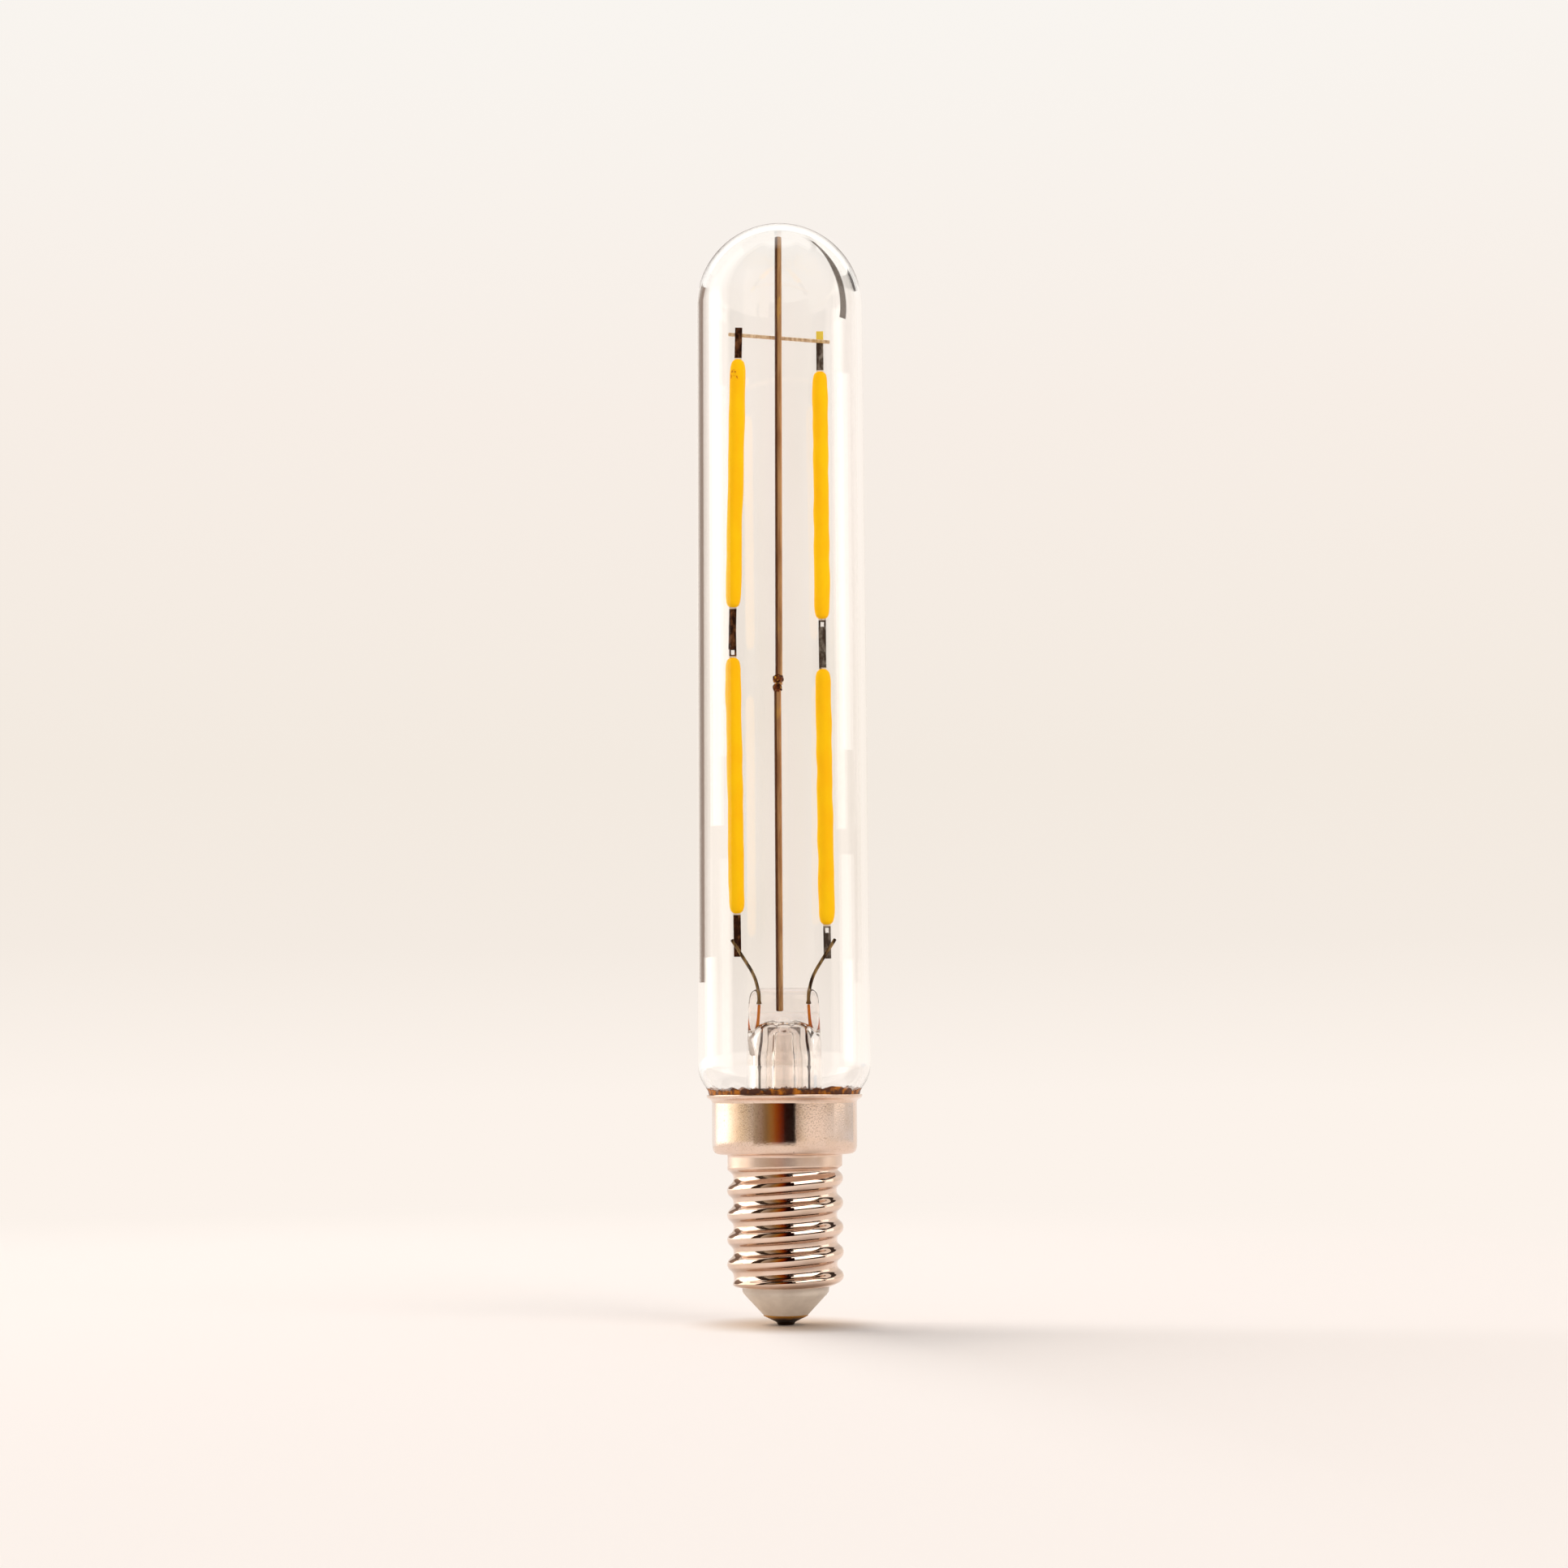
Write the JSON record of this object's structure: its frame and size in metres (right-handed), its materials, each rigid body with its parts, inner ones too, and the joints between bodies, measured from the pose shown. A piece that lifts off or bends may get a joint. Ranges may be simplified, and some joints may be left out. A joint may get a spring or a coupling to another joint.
{
  "type": "tubular light bulb",
  "caption": "Clear tubular light bulb: a domed glass tube over upright coated filament strips on a wire mount, with a small screw cap.",
  "frame": {"origin": "centre of the bottom contact's flat face", "axes": "+Z along the lamp's axis from the contact to the crown, +X to the right as the mount is seen flat on, -Y towards the viewer"},
  "size_m": [0.0204, 0.0204, 0.132],
  "materials": {
    "tube_glass": "clear blown glass",
    "stem_glass": "clear pressed glass",
    "lead_wire": "drawn nickel wire",
    "seal_wire": "copper-clad wire, oxidised red in the glass",
    "tail_wire": "dull tinned wire",
    "post_wire": "drawn nickel-plated wire",
    "weld_bead": "charred weld with bright flecks",
    "filament_coat": "matt yellow phosphor in silicone",
    "tarnished_tab": "heat-tarnished metal strip",
    "bare_tab": "plain metal strip",
    "nickel_plate": "satin nickel plate on drawn brass",
    "insulator": "pale grey satin moulding",
    "contact_metal": "dull brass",
    "cement": "dark amber capping cement",
    "board": "green lacquered laminate",
    "chip_mould": "black moulding",
    "chip_ceramic": "dark chip resistor"
  },
  "bodies": {
    "root": {"glass_tube": "tube_glass", "glass_stem": "stem_glass", "exhaust_tube": "stem_glass", "left_inner_lead": "lead_wire", "right_inner_lead": "lead_wire", "left_seal_wire": "seal_wire", "right_seal_wire": "seal_wire", "left_tail_wire": "tail_wire", "right_tail_wire": "tail_wire", "contact_wire": "tail_wire", "shell_wire": "tail_wire", "lower_post": "post_wire", "upper_post": "post_wire", "crossbar": "post_wire", "post_weld": "weld_bead", "screw_shell": "nickel_plate", "insulator": "insulator", "centre_contact": "contact_metal", "cement_ring": "cement", "driver_board": "board", "bridge_rectifier": "chip_mould", "current_regulator": "chip_mould", "sense_resistor": "chip_ceramic", "fuse_resistor": "chip_ceramic", "upper_left_filament": "filament_coat", "upper_left_filament_upper_tab": "tarnished_tab", "upper_left_filament_lower_tab": "tarnished_tab", "lower_left_filament": "filament_coat", "lower_left_filament_upper_tab": "tarnished_tab", "lower_left_filament_lower_tab": "tarnished_tab", "upper_right_filament": "filament_coat", "upper_right_filament_upper_tab": "bare_tab", "upper_right_filament_lower_tab": "bare_tab", "lower_right_filament": "filament_coat", "lower_right_filament_upper_tab": "bare_tab", "lower_right_filament_lower_tab": "bare_tab"}
  },
  "joints": []
}
